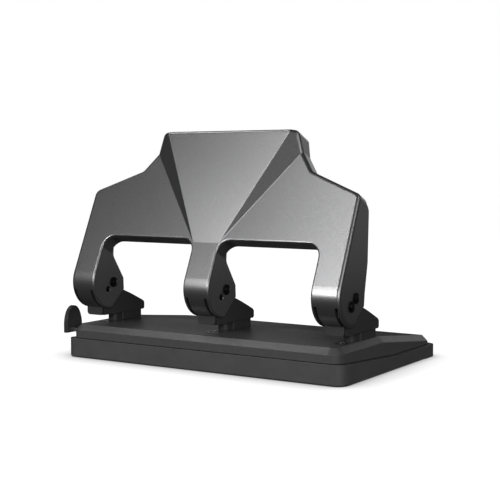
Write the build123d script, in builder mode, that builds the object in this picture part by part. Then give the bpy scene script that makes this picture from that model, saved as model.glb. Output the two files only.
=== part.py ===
"""Three hole punch: lean-back handle, three punch heads, base plate and hinged chip tray.

Units are millimetres.  +X runs along the length, +Y from the paper side to the rear, +Z up.
The origin is on the floor, below the middle of the base.
"""
from math import atan2, cos, degrees, hypot, radians, sin, tan
import os

from build123d import *

os.makedirs("parts", exist_ok=True)

# ---------------------------------------------------------------- heads
HEAD_PITCH = 107.95                     # 4 1/4 in between the holes of three-ring paper
HEADS = {"left": -HEAD_PITCH, "middle": 0.0, "right": HEAD_PITCH}
HOLE_R = 3.5                            # punched hole, 7 mm
PUNCH_Y = -54.0

# ---------------------------------------------------------------- base
HALF_LENGTH = 123.6                     # of the tray and the rear rail
PLATE_HALF = 119.4                      # of the base plate
FRONT = -81.0
BACK = 81.0
TRAY_BACK = 58.6                        # rear wall of the tray
RAIL_FRONT = 59.0                       # the fixed rear rail starts here
CORNER_R = 9.0
SEAM = [(FRONT - 2, 15.3), (8.0, 9.8), (BACK + 2, 9.6)]      # (y, z) line between tray and plate
SEAM_GAP = 0.4
PLATE_INSET = 1.6
DECK_Z = 26.0                           # flat part of the plate's top
DECK_BREAK_Y = -9.0                     # behind this line the top slopes down
DECK_BACK_Z = 15.6
DECK = [(FRONT - 2, DECK_Z), (DECK_BREAK_Y, DECK_Z), (BACK, DECK_BACK_Z)]
DECK_CHAMFER = 4.4
DECK_T = 3.0
SKIRT_T = 2.5
CAVITY_CHAMFER = 1.6                    # keeps the wall thick behind the deck's chamfer
PAD_T = 1.0                             # tray floor stands this far above the table
TRAY_FLOOR_T = 2.0
TRAY_WALL_T = 2.2
TRAY_END_T = 4.8                        # the ends form a ledge beside the plate

# ---------------------------------------------------------------- tray hinge
HINGE_R = 2.2                           # the tray's lower rear edge is round about the hinge
HINGE_Y = TRAY_BACK - HINGE_R
HINGE_Z = PAD_T + HINGE_R
HINGE_PIN_R = 1.1
HINGE_PIN_LENGTH = 208.0
LUG_R = 2.0
LUG_WIDTH = 10.0
LUGS_X = [-96.0, -32.0, 32.0, 96.0]
LUG_GAP = 0.4
RUN = 0.05                              # radial running clearance on pins

# ---------------------------------------------------------------- brackets and feet
THROAT = 6.4                            # paper gap
BRACKET_Z = DECK_Z + THROAT
BRACKET_HALF = 8.2
SHEET = 1.7
FLOOR_T = 2.0
TOE_FRONT = -64.2
TOE_TOP = 40.0
TOE_HALF = 7.6
CHEEK_FRONT = -62.2
SNOUT = [(-11.3, BRACKET_Z), (-10.2, BRACKET_Z + 1.1), (-10.2, 37.9), (-11.8, 39.6), (-17.4, 42.2),
         (-28.1, 46.9), (-38.0, 50.8), (-43.5, 58.0), (-46.5, 64.0)]
FOOT_HALF = 7.2
FOOT_FRONT = -37.5
FOOT_BACK = -12.6
STOP_R = 4.7                            # round nose of the foot that stops the paper
STOP_FRONT = -44.4
FOOT_CORNER_R = 1.2
BRACKET_SCREWS_Y = [-35.0, -21.0]

# ---------------------------------------------------------------- pivots of the handle
PIVOT_Y = -61.2
PIVOT_Z = 53.2
PIVOT_R = 2.5
DRIVE_Y = -54.5
DRIVE_Z = 58.5
DRIVE_R = 2.25
SWING = 60.0                            # degrees of handle travel, backwards
DRIVE_ARM = hypot(DRIVE_Y - PIVOT_Y, DRIVE_Z - PIVOT_Z)
DRIVE_ANGLE = degrees(atan2(DRIVE_Z - PIVOT_Z, DRIVE_Y - PIVOT_Y))

# ---------------------------------------------------------------- handle
LEAN = radians(24.3)                    # the rested handle leans back
BARREL_Y = -57.2                        # centre of the rounded lower end of each arm
BARREL_Z = 59.2
BARREL_R = 21.5
SHELL_T = 2.0
ARM_HALF = 11.4
FLANGE = 12.5                           # depth of the rim round the handle
TONGUE_HALF = 7.0
SLIT_START = 195.0                      # degrees round the barrel
TONGUE_END = 243.0
LOBE_END = 268.0
WINDOW_TOP_Z = 96.2
WINDOW_R = 10.0
SHOULDER_Z = 131.3
FLANK_TOP_Z = SHOULDER_Z - 4.6          # just below the rounding of the shoulder
NECK = (76.5, 147.4)                    # (x, z) inner end of the shoulder
BROW = (65.5, 161.2)                    # (x, z) where the raised panel's flank leaves the rim
CROWN_X = 56.5                          # upper end of the crease beside the raised panel
CROWN_CORNER_X = 60.5
CROWN_R = 4.5
CROWN_Z = 178.5
CROWN_RAISE = 7.3                       # how far the middle panel stands proud at the top
PANEL_FOOT_Z = 94.0
BEND_R = 1.4
RIM_BEND_R = 2.8

# ---------------------------------------------------------------- paper guide
GUIDE_Y = -71.6
GUIDE_TAB_X = -126.6
GUIDE_TAB_T = 4.4
GUIDE_HALF = 8.9
GUIDE_FOOT_Z = 18.6
GUIDE_TOP_Z = 39.8
GUIDE_ARC_Z = 24.5
BAR_HALF = 4.0
BAR_T = 3.0
BAR_Z = 19.4
BAR_END_X = -52.0
LOOPS_X = [-98.0, -64.0]


def save(part, name):
    """Label a sub-part and write it as STEP."""
    part.label = name
    export_step(part, f"parts/{name}.step")


def face_y(z):
    """Y of the handle's front plane at height z."""
    return BARREL_Y - BARREL_R / cos(LEAN) + (z - BARREL_Z) * tan(LEAN)


def along(z):
    """Distance up the handle's front plane at height z."""
    return z / cos(LEAN)


def lifted(profile, rise):
    """The same (y, z) profile, moved up by rise."""
    return [(y, z + rise) for y, z in profile]


def wedge_block(half_x, front, back, corner, low, high):
    """Rounded rectangle in plan, between a lower and an upper (y, z) profile."""
    with BuildPart() as block:
        with BuildSketch() as plan:
            with Locations((0, (front + back) / 2)):
                RectangleRounded(2 * half_x, back - front, corner)
        extrude(amount=50)
        with BuildSketch(Plane.YZ) as side:
            with BuildLine():
                Polyline(*low, *reversed(high), close=True)
            make_face()
        extrude(amount=half_x + 10, both=True, mode=Mode.INTERSECT)
    return block.part


def cylinder_x(radius, length, x, y, z, mode=Mode.ADD):
    """A cylinder along X, centred at (x, y, z)."""
    with Locations(Location((x, y, z), (0, 90, 0))):
        Cylinder(radius, length, mode=mode)


# ================================================================ base plate
plate_front = FRONT + PLATE_INSET
plate_back = BACK - PLATE_INSET
plate_low = lifted(SEAM, SEAM_GAP)
cavity_half = PLATE_HALF - SKIRT_T
DIE_R = 5.5
DIE_BOSS_R = 8.0
DIE_Z = 21.0
SCREW_R = 1.6
SCREW_BOSS_R = 4.5
SCREW_BOSS_Z = 14.0


def top_rim(block):
    """Edges round the top of a block, without the line where its top breaks."""
    tops = block.faces().filter_by(lambda f: f.normal_at().Z > 0.9)
    return [e for e in tops.edges() if abs(e.center().Y - DECK_BREAK_Y) > 1e-3]


with BuildPart() as cavity:
    add(wedge_block(cavity_half, plate_front + SKIRT_T, plate_back - SKIRT_T,
                    CORNER_R - SKIRT_T, lifted(SEAM, -12), lifted(DECK, -DECK_T)))
    chamfer(top_rim(cavity), CAVITY_CHAMFER)

with BuildPart() as base_plate:
    add(wedge_block(PLATE_HALF, plate_front, plate_back, CORNER_R, plate_low, DECK))
    chamfer(top_rim(base_plate), DECK_CHAMFER)
    add(cavity.part, mode=Mode.SUBTRACT)
    with BuildSketch(Plane.XY.offset(DIE_Z)) as die_bosses:
        with Locations(*[(x, PUNCH_Y) for x in HEADS.values()]):
            Circle(DIE_BOSS_R)
    extrude(amount=DECK_Z - DECK_T - DIE_Z)
    with BuildSketch(Plane.XY.offset(SCREW_BOSS_Z)) as screw_bosses:
        with Locations(*[(x, y) for x in HEADS.values() for y in BRACKET_SCREWS_Y]):
            Circle(SCREW_BOSS_R)
    extrude(amount=DECK_Z - DECK_T - SCREW_BOSS_Z)
    with Locations(*[(x, PUNCH_Y, DIE_Z - 1) for x in HEADS.values()]):
        Cylinder(DIE_R, 20, align=(Align.CENTER, Align.CENTER, Align.MIN), mode=Mode.SUBTRACT)
    with Locations(*[(x, y, SCREW_BOSS_Z - 1) for x in HEADS.values() for y in BRACKET_SCREWS_Y]):
        Cylinder(SCREW_R, 20, align=(Align.CENTER, Align.CENTER, Align.MIN), mode=Mode.SUBTRACT)
    loop_top = DECK_Z - DECK_T
    with Locations(*[(x, GUIDE_Y, loop_top) for x in LOOPS_X]):
        Box(5, 2 * BAR_HALF + 5, loop_top - BAR_Z + 2, align=(Align.CENTER, Align.CENTER, Align.MAX))
    with Locations((-PLATE_HALF - 1, GUIDE_Y, BAR_Z + BAR_T / 2)):
        Box(60, 2 * (BAR_HALF + RUN), BAR_T + 2 * RUN, align=(Align.MIN, Align.CENTER, Align.CENTER),
            mode=Mode.SUBTRACT)
save(base_plate.part, "base_plate")

# ================================================================ rear rail
RAIL_SCREWS_X = [-100.0, -48.0, 48.0, 100.0]
RAIL_SCREW_Y = 70.0
RAIL_SCREW_HEAD_R = 3.4
RAIL_SCREW_HEAD_T = 2.4
RAIL_SCREW_SEAT = 3.0
RAIL_SCREW_LENGTH = 9.0
PLINTH_FIT = 0.5

with BuildPart() as plinth:
    add(wedge_block(cavity_half - PLINTH_FIT, 62.0, plate_back - SKIRT_T - PLINTH_FIT,
                    CORNER_R - SKIRT_T - PLINTH_FIT,
                    [(0, 6.0), (BACK, 6.0)], lifted(DECK, -DECK_T)))
    chamfer(top_rim(plinth), CAVITY_CHAMFER)

with BuildPart() as rear_rail:
    add(wedge_block(HALF_LENGTH, -BACK, BACK, CORNER_R, lifted(SEAM, -30), SEAM))
    with Locations((0, 0, 0)):
        Box(300, 300, 60, align=(Align.CENTER, Align.CENTER, Align.MAX), mode=Mode.SUBTRACT)
    with Locations((0, RAIL_FRONT, 0)):
        Box(300, 300, 60, align=(Align.CENTER, Align.MAX, Align.CENTER), mode=Mode.SUBTRACT)
    add(plinth.part)
    for x in LUGS_X:
        cylinder_x(LUG_R, LUG_WIDTH, x, HINGE_Y, HINGE_Z)
        with Locations((x, HINGE_Y, HINGE_Z)):
            Box(LUG_WIDTH, RAIL_FRONT - HINGE_Y + 1, 1.8, align=(Align.CENTER, Align.MIN, Align.CENTER))
    cylinder_x(HINGE_PIN_R, HINGE_PIN_LENGTH, 0, HINGE_Y, HINGE_Z, mode=Mode.SUBTRACT)
    with Locations(*[(x, RAIL_SCREW_Y, 0) for x in RAIL_SCREWS_X]):
        Cylinder(SCREW_R, 60, mode=Mode.SUBTRACT)
        Cylinder(RAIL_SCREW_HEAD_R + 0.2, 2 * RAIL_SCREW_SEAT, mode=Mode.SUBTRACT)
save(rear_rail.part, "rear_rail")

with BuildPart() as rail_screws:
    with Locations(*[(x, RAIL_SCREW_Y, RAIL_SCREW_SEAT) for x in RAIL_SCREWS_X]):
        Cylinder(RAIL_SCREW_HEAD_R, RAIL_SCREW_HEAD_T, align=(Align.CENTER, Align.CENTER, Align.MAX))
        Cylinder(SCREW_R - RUN, RAIL_SCREW_LENGTH, align=(Align.CENTER, Align.CENTER, Align.MIN))
save(rail_screws.part, "rail_screws")

with BuildPart() as hinge_pin:
    cylinder_x(HINGE_PIN_R, HINGE_PIN_LENGTH, 0, HINGE_Y, HINGE_Z)
save(hinge_pin.part, "tray_hinge_pin")

# ================================================================ chip tray
tray_low = [(FRONT - 2, PAD_T), (BACK + 2, PAD_T)]
with BuildPart() as chip_tray:
    add(wedge_block(HALF_LENGTH, FRONT, BACK, CORNER_R, tray_low, SEAM))
    with Locations((0, TRAY_BACK, 0)):
        Box(300, 100, 60, align=(Align.CENTER, Align.MIN, Align.CENTER), mode=Mode.SUBTRACT)
    fillet(chip_tray.edges().filter_by(Axis.X).sort_by_distance((0, TRAY_BACK, PAD_T))[0], HINGE_R)
    add(wedge_block(HALF_LENGTH - TRAY_END_T, FRONT + TRAY_WALL_T, TRAY_BACK - TRAY_WALL_T,
                    CORNER_R - TRAY_WALL_T, lifted(tray_low, TRAY_FLOOR_T), lifted(SEAM, 5)),
        mode=Mode.SUBTRACT)
    cylinder_x(HINGE_R, 2 * (HALF_LENGTH - TRAY_WALL_T), 0, HINGE_Y, HINGE_Z)
    cylinder_x(HINGE_PIN_R + RUN, HINGE_PIN_LENGTH + 1, 0, HINGE_Y, HINGE_Z, mode=Mode.SUBTRACT)
    for x in LUGS_X:
        cylinder_x(LUG_R + LUG_GAP, LUG_WIDTH + 2 * LUG_GAP, x, HINGE_Y, HINGE_Z, mode=Mode.SUBTRACT)
        with Locations((x, HINGE_Y, HINGE_Z + 0.9 + LUG_GAP)):
            Box(LUG_WIDTH + 2 * LUG_GAP, 10, 10, align=(Align.CENTER, Align.MIN, Align.MAX),
                mode=Mode.SUBTRACT)
save(chip_tray.part, "chip_tray")

MAT_INSET = 7.0
MAT_CORNER_R = 6.0
with BuildPart() as nonskid_mat:
    with BuildSketch():
        with Locations((0, (FRONT + TRAY_BACK) / 2)):
            RectangleRounded(2 * (HALF_LENGTH - MAT_INSET), TRAY_BACK - FRONT - 2 * MAT_INSET, MAT_CORNER_R)
    extrude(amount=PAD_T)
save(nonskid_mat.part, "nonskid_mat")

# ================================================================ punch heads
CHEEK = [(CHEEK_FRONT, BRACKET_Z), (CHEEK_FRONT, 42.0), (-66.0, 47.0), (-67.6, 53.2),
         (-64.5, 60.0), (-58.0, 65.5)]
HEAD_SCREW_R = 3.0
HEAD_SCREW_T = 2.0
HEAD_SCREW_END = 15.0
GUIDE_R = 5.2
GUIDE_TOP = 36.4
PUNCH_TIP_Z = BRACKET_Z + 0.6
PUNCH_TOP_Z = DRIVE_Z - DRIVE_R - 0.3
NOTCH_DEPTH = 1.6
COLLAR_Z = 49.0
COLLAR_T = 1.6
COLLAR_R = 5.0
SPRING_WIRE_R = 0.4
SPRING_R = 4.5
SPRING_TURNS = 4.0
SPRING_END_GAP = 0.1
SLOT_GAP = 0.35
drive_arc = CenterArc((PIVOT_Y, PIVOT_Z), DRIVE_ARM, DRIVE_ANGLE - SWING, SWING)


def bracket(x):
    """Folded sheet bracket of one head: floor, two cheeks, rear lip and the toe in front."""
    inner = BRACKET_HALF - SHEET
    with BuildPart() as body:
        with BuildSketch(Plane.YZ.offset(x)) as cheek:
            with BuildLine():
                Polyline(*CHEEK, *reversed(SNOUT), close=True)
            make_face()
        extrude(amount=BRACKET_HALF, both=True)
        round_off = body.edges().filter_by(Axis.X).filter_by(lambda e: e.center().Z > 41)
        fillet(round_off, 2.0)
        with Locations((x, -110, BRACKET_Z + FLOOR_T)):
            Box(2 * inner, 120, 60, align=(Align.CENTER, Align.MIN, Align.MIN), mode=Mode.SUBTRACT)
        with Locations((x, SNOUT[1][0], BRACKET_Z + 1)):
            Box(2 * inner, SHEET, 4.0, align=(Align.CENTER, Align.MAX, Align.MIN))
        with BuildSketch(Plane.XZ.offset(-TOE_FRONT - SHEET)) as toe:
            with Locations((x, BRACKET_Z)):
                Rectangle(2 * TOE_HALF, TOE_TOP - BRACKET_Z, align=(Align.CENTER, Align.MIN))
            fillet(toe.vertices().group_by(Axis.Y)[0], 2.6)
        extrude(amount=SHEET)
        with Locations((x, TOE_FRONT + SHEET / 2, BRACKET_Z)):
            Box(2 * inner, 3.0, FLOOR_T, align=(Align.CENTER, Align.MIN, Align.MIN))
        cylinder_x(PIVOT_R, 40, x, PIVOT_Y, PIVOT_Z, mode=Mode.SUBTRACT)
        with BuildSketch(Plane.YZ.offset(x)):
            SlotArc(drive_arc, 2 * (DRIVE_R + SLOT_GAP))
        extrude(amount=30, both=True, mode=Mode.SUBTRACT)
        with Locations((x, PUNCH_Y, BRACKET_Z)):
            Cylinder(GUIDE_R, 20, mode=Mode.SUBTRACT)
        with Locations(*[(x, y, BRACKET_Z) for y in BRACKET_SCREWS_Y]):
            Cylinder(SCREW_R, 12, mode=Mode.SUBTRACT)
    return body.part


def foot(x):
    """Spacer that carries the bracket and stops the paper."""
    with BuildPart() as body:
        with BuildSketch(Plane.XY.offset(DECK_Z)) as plan:
            with Locations((x, FOOT_FRONT)):
                Rectangle(2 * FOOT_HALF, FOOT_BACK - FOOT_FRONT, align=(Align.CENTER, Align.MIN))
            fillet(plan.vertices(), FOOT_CORNER_R)
            with Locations((x, STOP_FRONT + STOP_R)):
                Circle(STOP_R)
                Rectangle(2 * STOP_R, FOOT_FRONT + 1 - STOP_FRONT - STOP_R, align=(Align.CENTER, Align.MIN))
        extrude(amount=THROAT)
        with Locations(*[(x, y, DECK_Z) for y in BRACKET_SCREWS_Y]):
            Cylinder(SCREW_R, 30, mode=Mode.SUBTRACT)
    return body.part


def die(x):
    """Hardened ring set flush in the deck below the punch."""
    with BuildPart() as body:
        with Locations((x, PUNCH_Y, DIE_Z)):
            Cylinder(DIE_R, DECK_Z - DIE_Z, align=(Align.CENTER, Align.CENTER, Align.MIN))
            Cylinder(HOLE_R + RUN, 30, mode=Mode.SUBTRACT)
    return body.part


def punch_guide(x):
    """Bush in the bracket floor that the punch slides in."""
    with BuildPart() as body:
        with Locations((x, PUNCH_Y, BRACKET_Z)):
            Cylinder(GUIDE_R, GUIDE_TOP - BRACKET_Z, align=(Align.CENTER, Align.CENTER, Align.MIN))
            Cylinder(HOLE_R + RUN, 30, mode=Mode.SUBTRACT)
    return body.part


def punch(x):
    """Punch with a collar for the spring and a vee-notched cutting end."""
    with BuildPart() as body:
        with Locations((x, PUNCH_Y, PUNCH_TIP_Z)):
            Cylinder(HOLE_R, PUNCH_TOP_Z - PUNCH_TIP_Z, align=(Align.CENTER, Align.CENTER, Align.MIN))
        with Locations((x, PUNCH_Y, COLLAR_Z)):
            Cylinder(COLLAR_R, COLLAR_T, align=(Align.CENTER, Align.CENTER, Align.MIN))
        with BuildSketch(Plane.YZ.offset(x)):
            with BuildLine():
                Polyline((PUNCH_Y - HOLE_R, PUNCH_TIP_Z), (PUNCH_Y, PUNCH_TIP_Z + NOTCH_DEPTH),
                         (PUNCH_Y + HOLE_R, PUNCH_TIP_Z), close=True)
            make_face()
        extrude(amount=HOLE_R + 1, both=True, mode=Mode.SUBTRACT)
    return body.part


def return_spring(x):
    """Compression spring between the guide bush and the punch collar."""
    low = GUIDE_TOP + SPRING_WIRE_R + SPRING_END_GAP
    high = COLLAR_Z - SPRING_WIRE_R - SPRING_END_GAP
    with BuildPart() as body:
        with BuildLine() as path:
            Helix((high - low) / SPRING_TURNS, high - low, SPRING_R, center=(x, PUNCH_Y, low))
        with BuildSketch(Plane(path.line @ 0, z_dir=path.line % 0)):
            Circle(SPRING_WIRE_R)
        sweep()
    return body.part


for side, head_x in HEADS.items():
    save(bracket(head_x), f"bracket_{side}")
    save(foot(head_x), f"foot_{side}")
    save(die(head_x), f"die_{side}")
    save(punch_guide(head_x), f"punch_guide_{side}")
    save(punch(head_x), f"punch_{side}")
    save(return_spring(head_x), f"return_spring_{side}")

with BuildPart() as bracket_screws:
    with Locations(*[(x, y, BRACKET_Z + FLOOR_T) for x in HEADS.values() for y in BRACKET_SCREWS_Y]):
        Cylinder(HEAD_SCREW_R, HEAD_SCREW_T, align=(Align.CENTER, Align.CENTER, Align.MIN))
        Cylinder(SCREW_R - RUN, BRACKET_Z + FLOOR_T - HEAD_SCREW_END,
                 align=(Align.CENTER, Align.CENTER, Align.MAX))
save(bracket_screws.part, "bracket_screws")

# ================================================================ pins of the handle
PIN_RECESS = 0.3
PIN_CHAMFER = 0.3
CLIP_TAIL = 1.5                         # a pin stands out this far past the arm for its clip
CLIP_GROOVE_R = 1.7
CLIP_T = 0.6
CLIP_GAP = 0.3
CLIP_R = 4.0
CLIP_MOUTH = 2.6
CLIP_X = ARM_HALF + CLIP_GAP + CLIP_T / 2          # from the middle of the arm
flush_end = ARM_HALF - PIN_RECESS
clip_end = ARM_HALF + CLIP_TAIL
pivot_clips_x = [HEADS["right"] + CLIP_X]
drive_clips_x = [x + side * CLIP_X for x in HEADS.values() for side in (-1, 1)]


def pins(radius, y, z, ends, clips_x):
    """Pins along X, one for each pair of ends, with a groove for each clip."""
    with BuildPart() as body:
        for start, end in ends:
            cylinder_x(radius, end - start, (start + end) / 2, y, z)
        chamfer(body.edges().filter_by(GeomType.CIRCLE), PIN_CHAMFER)
        for x in clips_x:
            with BuildSketch(Plane.YZ.offset(x)):
                with Locations((y, z)):
                    Circle(CLIP_R)
                    Circle(CLIP_GROOVE_R, mode=Mode.SUBTRACT)
            extrude(amount=CLIP_T / 2, both=True, mode=Mode.SUBTRACT)
    return body.part


def clips(y, z, clips_x):
    """Open-mouthed retaining clips round pins along X."""
    with BuildPart() as body:
        for x in clips_x:
            with BuildSketch(Plane.YZ.offset(x)):
                with Locations((y, z)):
                    Circle(CLIP_R)
                    Circle(CLIP_GROOVE_R, mode=Mode.SUBTRACT)
                    Rectangle(CLIP_R + 1, CLIP_MOUTH, align=(Align.MIN, Align.CENTER), mode=Mode.SUBTRACT)
            extrude(amount=CLIP_T / 2, both=True)
    return body.part


pivot_ends = [(x - flush_end, x + (clip_end if side == "right" else flush_end)) for side, x in HEADS.items()]
drive_ends = [(x - clip_end, x + clip_end) for x in HEADS.values()]
save(pins(PIVOT_R, PIVOT_Y, PIVOT_Z, pivot_ends, pivot_clips_x), "pivot_pins")
save(pins(DRIVE_R, DRIVE_Y, DRIVE_Z, drive_ends, drive_clips_x), "drive_pins")
save(clips(PIVOT_Y, PIVOT_Z, pivot_clips_x), "pivot_pin_clip")
save(clips(DRIVE_Y, DRIVE_Z, drive_clips_x), "drive_pin_clips")

# ================================================================ handle
face_plane = Plane(origin=(0, face_y(0), 0), x_dir=(1, 0, 0), z_dir=(0, -cos(LEAN), sin(LEAN)))
TANGENT_Z = BARREL_Z + BARREL_R * sin(LEAN)
NORMAL_ANGLE = 180 - degrees(LEAN)
OUTER_X = HEAD_PITCH + ARM_HALF
CROWN_V = along(CROWN_Z - CROWN_RAISE * sin(LEAN))
CHEEK_BACK = [(-41.2, 51.9), (-41.7, 61.0), (-54.2, 79.5), (-53.0, 93.0), (-56.0, 99.0)]
FLANK_BACK = [(-41.2, 51.9), (-40.3, 61.0), (-36.0, 82.0), (-34.6, 119.5), (-38.0, 124.0)]


def barrel_point(radius, angle):
    """(y, z) of a point round the barrel."""
    return (BARREL_Y + radius * cos(radians(angle)), BARREL_Z + radius * sin(radians(angle)))


def arm_profile(back, top_z):
    """Side view of an arm wall: front plane, round lower end and the given rear outline."""
    with BuildSketch() as profile:
        with BuildLine():
            Line((face_y(top_z), top_z), (face_y(TANGENT_Z), TANGENT_Z))
            CenterArc((BARREL_Y, BARREL_Z), BARREL_R, NORMAL_ANGLE, LOBE_END - NORMAL_ANGLE)
            Polyline(barrel_point(BARREL_R, LOBE_END), *back, (face_y(top_z), top_z))
        make_face()
        soft = [v for v in profile.vertices() if v.Y > 70 and v.X > face_y(v.Y) + 3]
        fillet(soft, 5.0)
    return profile.sketch


def crease_plane(*corners):
    """Plane through three corners given as (x, distance up the front plane, height above it)."""
    first, second, third = [face_plane.from_local_coords(Vector(*corner)) for corner in corners]
    normal = (second - first).cross(third - first)
    return Plane(origin=first, z_dir=normal if normal.Y < 0 else -normal)


def panel_block(inset, bend):
    """Raised middle panel with its two slanting flanks, in the hollow shrunk by inset.

    It is what three blocks of one outline share, each cut along one of the planes and rounded there.
    """
    foot_v = along(PANEL_FOOT_Z)
    brow_v = along(BROW[1])
    planes = [crease_plane((-ARM_HALF, foot_v, 0), (ARM_HALF, foot_v, 0), (CROWN_X, CROWN_V, CROWN_RAISE))]
    for side in (-1, 1):
        planes.append(crease_plane((side * ARM_HALF, foot_v, 0), (side * BROW[0], brow_v, 0),
                                   (side * CROWN_X, CROWN_V, CROWN_RAISE)))
    shared = None
    for plane in planes:
        with BuildPart() as block:
            with BuildSketch(face_plane.offset(-6)) as outline:
                with BuildLine():
                    Polyline((0, foot_v), (ARM_HALF, foot_v), (BROW[0], brow_v),
                             (CROWN_CORNER_X, CROWN_V), (0, CROWN_V))
                    mirror(about=Plane.YZ)
                make_face()
                fillet(outline.vertices().filter_by(lambda v: abs(abs(v.X) - CROWN_CORNER_X) < 0.1), CROWN_R)
                offset(amount=-inset, kind=Kind.INTERSECTION, mode=Mode.REPLACE)
            extrude(amount=70)
            split(bisect_by=plane.offset(-inset), keep=Keep.BOTTOM)
            if bend:
                cut = block.faces().filter_by(lambda f: f.normal_at().dot(plane.z_dir) > 0.999)
                fillet([e for e in cut.edges() if e.center().Z > BROW[1] + 1], bend)
        shared = block.part if shared is None else shared & block.part
    return shared


def rim_outline():
    """Front view of the handle with its two windows, on the front plane."""
    with BuildSketch() as outline:
        with BuildLine():
            Polyline((0, along(TANGENT_Z)), (OUTER_X, along(TANGENT_Z)), (OUTER_X, along(SHOULDER_Z)),
                     (NECK[0], along(NECK[1])), (BROW[0], along(BROW[1])), (CROWN_CORNER_X, CROWN_V),
                     (0, CROWN_V))
            mirror(about=Plane.YZ)
        make_face()
        fillet(outline.vertices().filter_by(lambda v: abs(v.X) > OUTER_X - 1 and v.Y > 100), 6.0)
        fillet(outline.vertices().filter_by(lambda v: abs(abs(v.X) - NECK[0]) < 0.1), 5.0)
        fillet(outline.vertices().filter_by(lambda v: abs(abs(v.X) - CROWN_CORNER_X) < 0.1), CROWN_R)
        window_width = HEAD_PITCH - 2 * ARM_HALF
        for side in (-1, 1):
            with Locations((side * HEAD_PITCH / 2, along(WINDOW_TOP_Z))):
                RectangleRounded(window_width, 60, WINDOW_R, align=(Align.CENTER, Align.MAX),
                                 mode=Mode.SUBTRACT)
    return outline.sketch


def soft_edges(builder, outer):
    """Front edges of the shell: on the outline (outer) or round the windows and inner arms."""
    front = [f for f in builder.faces() if f.normal_at().dot(face_plane.z_dir) > 0.999][0]
    arcs = [e for e in builder.edges().filter_by(GeomType.CIRCLE) if abs(e.radius - BARREL_R) < 1e-3]
    chosen = []
    for edge in list(front.edges()) + arcs:
        middle = edge.center()
        on_outline = abs(middle.X) > OUTER_X - 1 or middle.Z > WINDOW_TOP_Z + 1
        if abs(middle.Z - TANGENT_Z) > 0.5 and on_outline == outer:
            chosen.append(edge)
    return chosen


def arm_hollow():
    """Side view of what is cut from between the walls of an arm."""
    inner_r = BARREL_R - SHELL_T
    top_z = WINDOW_TOP_Z + 6
    step = SHELL_T / cos(LEAN)
    tangent_z = BARREL_Z + inner_r * sin(LEAN)
    with BuildSketch() as profile:
        with BuildLine():
            Line((face_y(top_z) + step, top_z), (face_y(tangent_z) + step, tangent_z))
            CenterArc((BARREL_Y, BARREL_Z), inner_r, NORMAL_ANGLE, TONGUE_END - NORMAL_ANGLE)
            Polyline(barrel_point(inner_r, TONGUE_END), barrel_point(50, TONGUE_END), (0, 0), (0, top_z),
                     (face_y(top_z) + step, top_z))
        make_face()
    return profile.sketch


def arm_slits():
    """Side view of the slits that part the tongue of an arm from its walls."""
    with BuildSketch() as profile:
        with BuildLine():
            CenterArc((BARREL_Y, BARREL_Z), BARREL_R - 4, SLIT_START, 60)
            Line(barrel_point(BARREL_R - 4, SLIT_START + 60), barrel_point(BARREL_R + 4, SLIT_START + 60))
            CenterArc((BARREL_Y, BARREL_Z), BARREL_R + 4, SLIT_START, 60)
            Line(barrel_point(BARREL_R + 4, SLIT_START), barrel_point(BARREL_R - 4, SLIT_START))
        make_face()
    return profile.sketch


with BuildPart() as handle:
    with BuildSketch(face_plane):
        add(rim_outline())
    extrude(amount=-FLANGE)
    for x in HEADS.values():
        with BuildSketch(Plane.YZ.offset(x)):
            add(arm_profile(CHEEK_BACK, WINDOW_TOP_Z))
        extrude(amount=ARM_HALF, both=True)
    for side in (-1, 1):
        with BuildSketch(Plane.YZ.offset(side * (OUTER_X - 5))):
            add(arm_profile(FLANK_BACK, FLANK_TOP_Z))
        extrude(amount=side * 5)
    fillet(soft_edges(handle, outer=True), RIM_BEND_R)
    fillet(soft_edges(handle, outer=False), BEND_R)
    add(panel_block(0.0, RIM_BEND_R))
    with BuildSketch(face_plane.offset(-SHELL_T)):
        add(rim_outline())
        offset(amount=-SHELL_T, kind=Kind.INTERSECTION, mode=Mode.REPLACE)
    extrude(amount=-60, mode=Mode.SUBTRACT)
    add(panel_block(SHELL_T, 0.0), mode=Mode.SUBTRACT)
    for x in HEADS.values():
        with BuildSketch(Plane.YZ.offset(x)):
            add(arm_hollow())
        extrude(amount=ARM_HALF - SHELL_T, both=True, mode=Mode.SUBTRACT)
        for side in (-1, 1):
            with BuildSketch(Plane.YZ.offset(x + side * TONGUE_HALF)):
                add(arm_slits())
            extrude(amount=side * (ARM_HALF - SHELL_T - TONGUE_HALF), mode=Mode.SUBTRACT)
        cylinder_x(PIVOT_R + RUN, 2 * ARM_HALF + 2, x, PIVOT_Y, PIVOT_Z, mode=Mode.SUBTRACT)
        cylinder_x(DRIVE_R, 2 * ARM_HALF + 2, x, DRIVE_Y, DRIVE_Z, mode=Mode.SUBTRACT)
save(handle.part, "handle")

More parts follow.
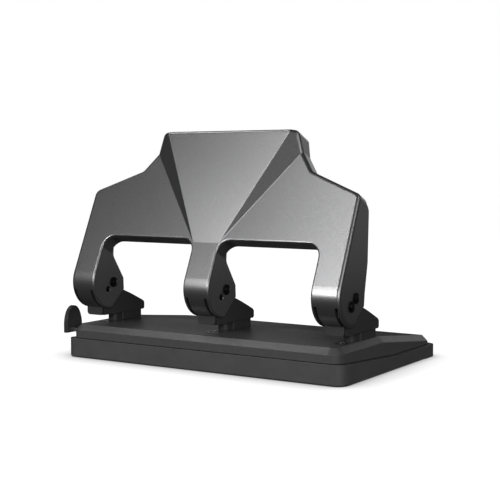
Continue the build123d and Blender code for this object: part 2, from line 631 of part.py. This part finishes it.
# ================================================================ paper guide
GUIDE_ROUND = 0.8
DISH_R = 60.0
DISH_DEPTH = 1.1
tab_centre_x = GUIDE_TAB_X + GUIDE_TAB_T / 2
with BuildPart() as guide_tab:
    with BuildSketch(Plane.YZ.offset(GUIDE_TAB_X)):
        with Locations((GUIDE_Y, GUIDE_FOOT_Z)):
            Rectangle(2 * GUIDE_HALF, GUIDE_ARC_Z - GUIDE_FOOT_Z, align=(Align.CENTER, Align.MIN))
        with Locations((GUIDE_Y, GUIDE_ARC_Z)):
            Ellipse(GUIDE_HALF, GUIDE_TOP_Z - GUIDE_ARC_Z)
        with Locations((GUIDE_Y, GUIDE_FOOT_Z)):
            Rectangle(60, 60, align=(Align.CENTER, Align.MAX), mode=Mode.SUBTRACT)
    extrude(amount=GUIDE_TAB_T)
    fillet(guide_tab.edges().filter_by(lambda e: abs(e.center().X - tab_centre_x) > 1), GUIDE_ROUND)
    with Locations((GUIDE_TAB_X + GUIDE_TAB_T - DISH_DEPTH + DISH_R, GUIDE_Y, GUIDE_FOOT_Z + 13)):
        Sphere(DISH_R, mode=Mode.SUBTRACT)
    with Locations((GUIDE_TAB_X + 1.5, GUIDE_Y, BAR_Z + BAR_T / 2)):
        Box(20, 2 * BAR_HALF, BAR_T, align=(Align.MIN, Align.CENTER, Align.CENTER), mode=Mode.SUBTRACT)
save(guide_tab.part, "guide_tab")

with BuildPart() as guide_bar:
    with Locations((GUIDE_TAB_X + 1.5, GUIDE_Y, BAR_Z + BAR_T / 2)):
        Box(BAR_END_X - GUIDE_TAB_X - 1.5, 2 * BAR_HALF, BAR_T,
            align=(Align.MIN, Align.CENTER, Align.CENTER))
save(guide_bar.part, "guide_bar")
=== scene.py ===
"""Looks, small hardware, lights and camera for the three hole punch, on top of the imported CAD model."""
from math import cos, pi, radians, sin

import bmesh
import bpy
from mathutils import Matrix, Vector


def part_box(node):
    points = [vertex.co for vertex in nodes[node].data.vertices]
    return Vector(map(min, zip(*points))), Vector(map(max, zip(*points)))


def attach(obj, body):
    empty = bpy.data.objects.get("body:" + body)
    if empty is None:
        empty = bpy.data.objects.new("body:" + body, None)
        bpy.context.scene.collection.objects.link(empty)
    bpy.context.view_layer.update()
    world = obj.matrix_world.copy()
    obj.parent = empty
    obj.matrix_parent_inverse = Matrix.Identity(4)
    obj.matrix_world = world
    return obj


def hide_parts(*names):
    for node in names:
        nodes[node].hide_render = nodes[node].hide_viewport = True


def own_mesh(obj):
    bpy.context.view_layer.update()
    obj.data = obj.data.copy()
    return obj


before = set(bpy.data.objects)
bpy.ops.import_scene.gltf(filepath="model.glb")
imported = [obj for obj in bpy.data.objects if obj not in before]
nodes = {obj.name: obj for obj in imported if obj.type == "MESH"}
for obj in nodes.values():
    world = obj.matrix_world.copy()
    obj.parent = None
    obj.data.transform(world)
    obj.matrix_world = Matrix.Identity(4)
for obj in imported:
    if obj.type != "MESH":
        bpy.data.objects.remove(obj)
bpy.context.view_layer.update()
SIDES = ("left", "middle", "right")
MM = 0.001
NOISE_ROUGHNESS = 0.55
STEEL_EDGE = 0.1 * MM


# ---------------------------------------------------------------- materials
def new_material(name, base, metallic, roughness, **sockets):
    """A Principled material; further sockets are given with _ for each space in their names."""
    material = bpy.data.materials.new(name)
    material.use_nodes = True
    tree = material.node_tree
    shader = tree.nodes["Principled BSDF"]
    shader.inputs["Base Color"].default_value = (*base, 1)
    shader.inputs["Metallic"].default_value = metallic
    shader.inputs["Roughness"].default_value = roughness
    for socket, value in sockets.items():
        shader.inputs[socket.replace("_", " ")].default_value = value
    return material, tree, shader


def noise(tree, scale, detail=4.0, stretch=(1, 1, 1)):
    """3-D noise in the object's own coordinates; scale is in features per metre."""
    place = tree.nodes.new("ShaderNodeTexCoord")
    mapping = tree.nodes.new("ShaderNodeMapping")
    texture = tree.nodes.new("ShaderNodeTexNoise")
    mapping.inputs["Scale"].default_value = stretch
    texture.inputs["Scale"].default_value = scale
    texture.inputs["Detail"].default_value = detail
    texture.inputs["Roughness"].default_value = NOISE_ROUGHNESS
    tree.links.new(place.outputs["Object"], mapping.inputs["Vector"])
    tree.links.new(mapping.outputs["Vector"], texture.inputs["Vector"])
    return texture.outputs["Fac"]


def between(tree, factor, low, high):
    """Map a 0..1 factor, which noise keeps near the middle, to the range low..high."""
    ramp = tree.nodes.new("ShaderNodeMapRange")
    ramp.inputs["From Min"].default_value = 0.3
    ramp.inputs["From Max"].default_value = 0.7
    ramp.inputs["To Min"].default_value = low
    ramp.inputs["To Max"].default_value = high
    tree.links.new(factor, ramp.inputs["Value"])
    return ramp.outputs["Result"]


def vary_colour(tree, shader, factor, dark, light):
    """Let the base colour wander between two shades."""
    ramp = tree.nodes.new("ShaderNodeValToRGB")
    ramp.color_ramp.elements[0].position = 0.32
    ramp.color_ramp.elements[0].color = (*dark, 1)
    ramp.color_ramp.elements[1].position = 0.68
    ramp.color_ramp.elements[1].color = (*light, 1)
    tree.links.new(factor, ramp.inputs["Fac"])
    tree.links.new(ramp.outputs["Color"], shader.inputs["Base Color"])


def surface_relief(tree, shader, height, depth, strength=1.0, edge=0.0):
    """Bump of the given depth in metres, over edges softened by the given radius."""
    bump = tree.nodes.new("ShaderNodeBump")
    bump.inputs["Strength"].default_value = strength
    bump.inputs["Distance"].default_value = depth
    tree.links.new(height, bump.inputs["Height"])
    if edge:
        soft = tree.nodes.new("ShaderNodeBevel")
        soft.samples = 6
        soft.inputs["Radius"].default_value = edge
        tree.links.new(soft.outputs["Normal"], bump.inputs["Normal"])
    tree.links.new(bump.outputs["Normal"], shader.inputs["Normal"])


def metallic_paint():
    """Silver-grey metallic lacquer of the handle: fine flake, faint orange peel, clear coat."""
    material, tree, shader = new_material("handle_metallic_paint", (0.36, 0.36, 0.365), 0.9, 0.3,
                                          Coat_Weight=0.12, Coat_Roughness=0.25)
    vary_colour(tree, shader, noise(tree, 2600, 2.0), (0.352, 0.352, 0.357), (0.372, 0.372, 0.377))
    flake = noise(tree, 1500, 2.0)
    tree.links.new(between(tree, flake, 0.27, 0.33), shader.inputs["Roughness"])
    surface_relief(tree, shader, noise(tree, 600, 2.0), 0.00001, 0.2, edge=0.0009)
    return material


def powder_coat(name, dark, light, roughness, edge):
    """Black semi-gloss powder coat with its fine orange peel."""
    material, tree, shader = new_material(name, light, 0.0, roughness, Specular_IOR_Level=0.55)
    vary_colour(tree, shader, noise(tree, 900, 3.0), dark, light)
    tree.links.new(between(tree, noise(tree, 260, 4.0), roughness - 0.04, roughness + 0.05),
                   shader.inputs["Roughness"])
    surface_relief(tree, shader, noise(tree, 750, 3.0), 0.00006, 0.35, edge=edge)
    return material


def moulded_plastic(name, dark, light, roughness, grain, depth, edge):
    """Black moulded plastic with a fine spark-eroded grain."""
    material, tree, shader = new_material(name, light, 0.0, roughness, Specular_IOR_Level=0.5)
    vary_colour(tree, shader, noise(tree, 60, 4.0), dark, light)
    tree.links.new(between(tree, noise(tree, 140, 4.0), roughness - 0.05, roughness + 0.05),
                   shader.inputs["Roughness"])
    surface_relief(tree, shader, noise(tree, grain, 2.0), depth, 0.5, edge=edge)
    return material


def steel(name, dark, light, roughness, stretch):
    """Machined or drawn steel: fine streaks along the direction that stretch leaves long."""
    material, tree, shader = new_material(name, light, 1.0, roughness)
    vary_colour(tree, shader, noise(tree, 500, 5.0, stretch=stretch), dark, light)
    streaks = noise(tree, 1400, 3.0, stretch=stretch)
    tree.links.new(between(tree, streaks, roughness - 0.07, roughness + 0.09), shader.inputs["Roughness"])
    surface_relief(tree, shader, streaks, 0.00002, 0.3, edge=STEEL_EDGE)
    return material


def nonskid_rubber():
    """Dull black rubber with a woven grip pattern."""
    material, tree, shader = new_material("nonskid_rubber", (0.02, 0.02, 0.02), 0.0, 0.85)
    place = tree.nodes.new("ShaderNodeTexCoord")
    grid = tree.nodes.new("ShaderNodeTexVoronoi")
    grid.inputs["Scale"].default_value = 450
    grid.inputs["Randomness"].default_value = 0.0
    tree.links.new(place.outputs["Object"], grid.inputs["Vector"])
    vary_colour(tree, shader, noise(tree, 90, 4.0), (0.012, 0.012, 0.012), (0.028, 0.028, 0.028))
    tree.links.new(between(tree, noise(tree, 200, 3.0), 0.78, 0.92), shader.inputs["Roughness"])
    surface_relief(tree, shader, grid.outputs["Distance"], 0.0004, 0.6)
    return material


ALONG_Z = (1.0, 1.0, 0.08)
ALONG_X = (0.08, 1.0, 1.0)
handle_paint = metallic_paint()
base_paint = powder_coat("base_powder_coat", (0.102, 0.102, 0.103), (0.120, 0.120, 0.121), 0.34, 0.0006)
bracket_paint = powder_coat("bracket_powder_coat", (0.050, 0.050, 0.051), (0.062, 0.062, 0.063), 0.45, 0.0003)
tray_plastic = moulded_plastic("tray_plastic", (0.110, 0.110, 0.111), (0.130, 0.130, 0.131), 0.4,
                               1600, 0.00005, 0.0004)
guide_plastic = moulded_plastic("guide_plastic", (0.056, 0.056, 0.057), (0.068, 0.068, 0.069), 0.28,
                                600, 0.00002, 0.0003)
rubber = nonskid_rubber()
turned_steel = steel("turned_steel", (0.50, 0.50, 0.51), (0.62, 0.62, 0.63), 0.3, ALONG_X)
tool_steel = steel("ground_tool_steel", (0.38, 0.38, 0.40), (0.48, 0.48, 0.50), 0.24, ALONG_Z)
spring_steel = steel("spring_steel", (0.44, 0.44, 0.46), (0.56, 0.56, 0.58), 0.28, (1, 1, 1))
black_steel = steel("black_oxide_steel", (0.020, 0.020, 0.022), (0.045, 0.045, 0.048), 0.42, (1, 1, 1))

FINISH = {"base_plate": base_paint, "rear_rail": tray_plastic, "rail_screws": turned_steel,
          "tray_hinge_pin": turned_steel, "chip_tray": tray_plastic, "nonskid_mat": rubber,
          "bracket_screws": turned_steel, "pivot_pins": black_steel, "drive_pins": black_steel,
          "pivot_pin_clip": black_steel, "drive_pin_clips": black_steel, "handle": handle_paint,
          "guide_tab": guide_plastic, "guide_bar": turned_steel}
for side in SIDES:
    FINISH[f"bracket_{side}"] = bracket_paint
    FINISH[f"foot_{side}"] = bracket_paint
    FINISH[f"die_{side}"] = tool_steel
    FINISH[f"punch_guide_{side}"] = tool_steel
    FINISH[f"punch_{side}"] = tool_steel
    FINISH[f"return_spring_{side}"] = spring_steel
for node, material in FINISH.items():
    mesh = nodes[node].data
    mesh.materials.clear()
    mesh.materials.append(material)


# ---------------------------------------------------------------- small hardware
def finished(name, mesh_builder, material, body):
    """Turn a bmesh into an object with smooth shading that rides on a body."""
    mesh = bpy.data.meshes.new(name)
    bmesh.ops.recalc_face_normals(mesh_builder, faces=mesh_builder.faces)
    mesh_builder.to_mesh(mesh)
    mesh_builder.free()
    mesh.materials.append(material)
    for polygon in mesh.polygons:
        polygon.use_smooth = True
    mesh.set_sharp_from_angle(angle=radians(32))
    piece = bpy.data.objects.new(name, mesh)
    bpy.context.scene.collection.objects.link(piece)
    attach(piece, body)
    return piece


def islands(node):
    """Lowest and highest corner of each separate solid of a CAD node."""
    builder = bmesh.new()
    builder.from_mesh(nodes[node].data)
    bmesh.ops.remove_doubles(builder, verts=builder.verts, dist=1e-6)
    todo = set(builder.verts)
    boxes = []
    while todo:
        stack = [todo.pop()]
        found = []
        while stack:
            vertex = stack.pop()
            found.append(vertex.co.copy())
            for edge in vertex.link_edges:
                other = edge.other_vert(vertex)
                if other in todo:
                    todo.remove(other)
                    stack.append(other)
        low = Vector([min(co[i] for co in found) for i in range(3)])
        high = Vector([max(co[i] for co in found) for i in range(3)])
        boxes.append((low, high))
    builder.free()
    return boxes


def tube_along(builder, points, radius, segments=10):
    """Sweep a round wire along a list of points and close its ends."""
    rings = []
    for i, point in enumerate(points):
        ahead = points[min(i + 1, len(points) - 1)] - points[max(i - 1, 0)]
        ahead.normalize()
        across = ahead.cross(Vector((0, 0, 1))).normalized()
        up = across.cross(ahead)
        ring = []
        for k in range(segments):
            angle = 2 * pi * k / segments
            ring.append(builder.verts.new(point + radius * (cos(angle) * across + sin(angle) * up)))
        rings.append(ring)
    for low, high in zip(rings, rings[1:]):
        for k in range(segments):
            builder.faces.new((low[k], low[(k + 1) % segments], high[(k + 1) % segments], high[k]))
    builder.faces.new(reversed(rings[0]))
    builder.faces.new(rings[-1])


SCREW_SEGMENTS = 24
THREAD_PITCH = 0.5 * MM
THREAD_DEPTH = 0.22 * MM
SHANK_R = 1.55 * MM


def socket_screw(builder, low, high, head_up, head_t, shank_r):
    """Socket-head screw with a rounded head and a ringed shank, in the box of its CAD stand-in."""
    segments = SCREW_SEGMENTS
    head_r = (high.x - low.x) / 2
    length = high.z - low.z
    socket_r = 0.48 * head_r
    # rings from the bottom of the socket over the head to the tip: (radius, depth, hexagonal)
    rings = [(socket_r, 0.55 * head_t, True), (socket_r, 0.08 * head_t, True), (1.1 * socket_r, 0, True),
             (0.74 * head_r, 0, False), (0.90 * head_r, 0.07 * head_t, False),
             (0.98 * head_r, 0.22 * head_t, False), (head_r, 0.42 * head_t, False),
             (head_r, 0.94 * head_t, False), (0.97 * head_r, head_t, False), (shank_r, head_t, False)]
    depth = head_t + 2 * THREAD_PITCH
    while depth < length - 2 * THREAD_PITCH:
        rings.append((shank_r, depth, False))
        rings.append((shank_r - THREAD_DEPTH, depth + THREAD_PITCH / 2, False))
        depth += THREAD_PITCH
    rings.append((0.6 * shank_r, length, False))
    top, down = (high.z, -1) if head_up else (low.z, 1)
    loops = []
    for radius, depth, hexagonal in rings:
        loop = []
        for k in range(segments):
            angle = 2 * pi * k / segments
            reach = radius / cos(angle % (pi / 3) - pi / 6) if hexagonal else radius
            loop.append(builder.verts.new(((low.x + high.x) / 2 + reach * cos(angle),
                                           (low.y + high.y) / 2 + reach * sin(angle), top + down * depth)))
        loops.append(loop)
    for inner, outer in zip(loops, loops[1:]):
        for k in range(segments):
            after = (k + 1) % segments
            builder.faces.new((inner[k], inner[after], outer[after], outer[k]))
    builder.faces.new(loops[0])
    builder.faces.new(loops[-1])


def screw_set(name, node, head_up, head_t, shank_r):
    """Detailed screws in place of one CAD node's plain ones."""
    builder = bmesh.new()
    for low, high in islands(node):
        socket_screw(builder, low, high, head_up, head_t, shank_r)
    piece = finished(name, builder, turned_steel, "frame")
    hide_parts(node)


SPRING_WIRE_R = 0.4 * MM
SPRING_TURNS = 6.0
SPRING_STEPS = 180
END_COIL_RISE = 2.1                     # height of a closed end coil, in wire radii


def return_spring(side):
    """Compression spring with closed end coils, in the space of its CAD stand-in."""
    low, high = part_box(f"return_spring_{side}")
    wire = SPRING_WIRE_R
    radius = (high.x - low.x) / 2 - wire
    centre = (low + high) / 2
    bottom = low.z + wire
    height = high.z - wire - bottom
    points = []
    for i in range(SPRING_STEPS + 1):
        t = i / SPRING_STEPS
        # the two end coils lie nearly flat, and the coils between them share the height
        turned = t * SPRING_TURNS
        rise = min(max((turned - 1) / (SPRING_TURNS - 2), 0), 1)
        flat = END_COIL_RISE * wire * (min(turned, 1) + max(turned - (SPRING_TURNS - 1), 0))
        angle = 2 * pi * turned
        z = bottom + flat + rise * (height - 2 * END_COIL_RISE * wire)
        points.append(Vector((centre.x + radius * cos(angle), centre.y + radius * sin(angle), z)))
    builder = bmesh.new()
    tube_along(builder, points, wire, 8)
    piece = finished(f"spring_coil_{side}", builder, spring_steel, "frame")
    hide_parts(f"return_spring_{side}")
    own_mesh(piece)


for side in SIDES:
    return_spring(side)
screw_set("bracket_socket_screws", "bracket_screws", True, 2.0 * MM, SHANK_R)
screw_set("rail_socket_screws", "rail_screws", False, 2.4 * MM, SHANK_R)


# ---------------------------------------------------------------- camera
CAMERA_AT = (0.4693, -0.7479, 0.1481)
CAMERA_YAW = radians(32.213)
CAMERA_PITCH = radians(-4.124)
lens = bpy.data.cameras.new("camera")
lens.lens = 80.43
lens.sensor_width = 36
lens.clip_start = 0.01
camera = bpy.data.objects.new("camera", lens)
camera.location = CAMERA_AT
camera.rotation_euler = (pi / 2 + CAMERA_PITCH, 0, CAMERA_YAW)
bpy.context.scene.collection.objects.link(camera)
bpy.context.scene.camera = camera


# ---------------------------------------------------------------- stage and lights
LIT_POINT = Vector((0, 0, 0.07))
FLOOR_HALF = 4.0
CONTACT_REACH = 30 * MM


def white_floor():
    """A wide pale sweep under the punch that glows evenly white, except for a painted contact shadow around
    the punch.
    """
    builder = bmesh.new()
    bmesh.ops.create_grid(builder, x_segments=8, y_segments=8, size=FLOOR_HALF)
    mesh = bpy.data.meshes.new("floor")
    builder.to_mesh(mesh)
    builder.free()
    material, tree, shader = new_material("floor_paper", (0.3, 0.3, 0.3), 0.0, 0.9,
                                          Specular_IOR_Level=0.0, Emission_Color=(1, 1, 1, 1))
    # painted contact shadow: the paper glows less where the punch stands close above it, which paints a soft
    # contact shadow on the floor
    contact = tree.nodes.new("ShaderNodeAmbientOcclusion")
    contact.samples = 8
    contact.inputs["Distance"].default_value = CONTACT_REACH
    glow = tree.nodes.new("ShaderNodeMapRange")
    glow.inputs["From Min"].default_value = 0.1
    glow.inputs["From Max"].default_value = 1.0
    glow.inputs["To Min"].default_value = 0.0
    glow.inputs["To Max"].default_value = 1.0
    tree.links.new(contact.outputs["AO"], glow.inputs["Value"])
    tree.links.new(glow.outputs["Result"], shader.inputs["Emission Strength"])
    mesh.materials.append(material)
    floor = bpy.data.objects.new("floor", mesh)
    bpy.context.scene.collection.objects.link(floor)
    floor.visible_diffuse = False
    floor.visible_glossy = False


def softbox(name, azimuth, elevation, distance, size, watts):
    """A square soft light aimed at the punch from azimuth (0 = in front, + to the right) and elevation."""
    data = bpy.data.lights.new(name, "AREA")
    data.shape = "SQUARE"
    data.size = size
    data.energy = watts
    out = Vector((sin(radians(azimuth)) * cos(radians(elevation)),
                  -cos(radians(azimuth)) * cos(radians(elevation)), sin(radians(elevation))))
    light = bpy.data.objects.new(name, data)
    light.location = LIT_POINT + distance * out
    light.rotation_euler = (-out).to_track_quat("-Z", "Y").to_euler()
    bpy.context.scene.collection.objects.link(light)


def studio_world():
    """Plain white backdrop for the eye, dim even fill for the reflections."""
    world = bpy.data.worlds.new("studio")
    world.use_nodes = True
    tree = world.node_tree
    tree.nodes.clear()
    out = tree.nodes.new("ShaderNodeOutputWorld")
    mix = tree.nodes.new("ShaderNodeMixShader")
    path = tree.nodes.new("ShaderNodeLightPath")
    fill = tree.nodes.new("ShaderNodeBackground")
    seen = tree.nodes.new("ShaderNodeBackground")
    fill.inputs["Color"].default_value = (1, 1, 1, 1)
    fill.inputs["Strength"].default_value = 0.02
    seen.inputs["Color"].default_value = (1, 1, 1, 1)
    seen.inputs["Strength"].default_value = 1.0
    tree.links.new(path.outputs["Is Camera Ray"], mix.inputs["Fac"])
    tree.links.new(fill.outputs["Background"], mix.inputs[1])
    tree.links.new(seen.outputs["Background"], mix.inputs[2])
    tree.links.new(mix.outputs["Shader"], out.inputs["Surface"])
    bpy.context.scene.world = world


white_floor()
studio_world()
softbox("key", -20, 15, 1.4, 0.26, 3.5)
softbox("key_middle", -20, 32, 1.4, 0.26, 1.3)
softbox("key_left", -31, 26, 1.4, 0.26, 0.65)
softbox("key_high", -25, 44, 1.4, 0.26, 0.6)
softbox("right_low", 35, 12, 1.4, 0.50, 2.6)
softbox("right_side", 60, 15, 1.5, 0.70, 3.1)
softbox("right_high", 80, 45, 1.5, 0.70, 1.2)
softbox("right_rear", 145, 8, 1.5, 0.70, 0.22)
softbox("rear", 180, 15, 1.5, 0.70, 0.8)
softbox("rear_left", -140, 15, 1.5, 0.70, 0.22)
softbox("left_high", -79, 57, 1.4, 0.40, 1.9)
bpy.context.scene.view_settings.view_transform = "Standard"
